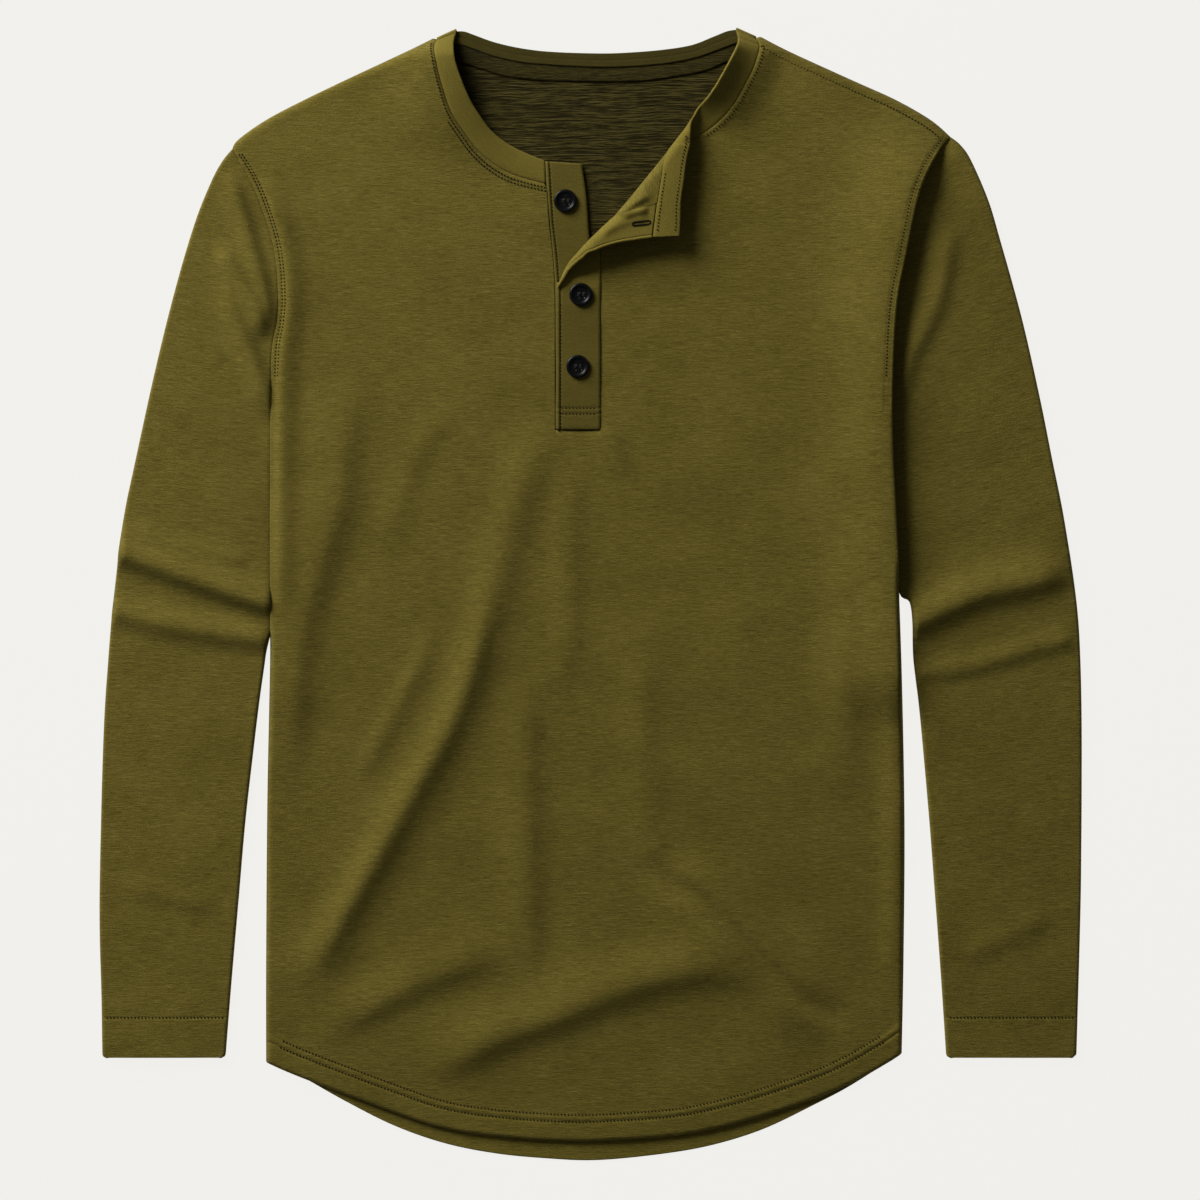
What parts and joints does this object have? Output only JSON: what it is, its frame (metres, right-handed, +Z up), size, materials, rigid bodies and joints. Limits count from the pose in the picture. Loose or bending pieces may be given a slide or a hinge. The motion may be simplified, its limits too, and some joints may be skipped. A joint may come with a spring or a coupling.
{
  "type": "henley shirt",
  "caption": "Long-sleeved henley shirt laid flat, front up, with a curved hem and a buttoned placket whose top corner is folded open.",
  "frame": {"origin": "on the surface that the shirt lies on, under the middle of its outline", "axes": "+X to the wearer's left, +Y towards the neck, +Z up from the surface"},
  "size_m": [0.6477, 0.7474, 0.0171],
  "materials": {
    "jersey": "heathered olive cotton jersey, matt, with fine slub streaks",
    "tape": "dark olive twill tape, matt",
    "button": "black, glossy, slightly worn"
  },
  "bodies": {
    "root": {"back_panel": "jersey", "front_panel": "jersey", "sleeve_right": "jersey", "sleeve_left": "jersey", "neckband": "jersey", "placket_under_strip": "jersey", "placket_top_strip": "jersey", "neck_tape": "tape", "button_1": "button", "button_2": "button", "button_3": "button"}
  },
  "joints": []
}
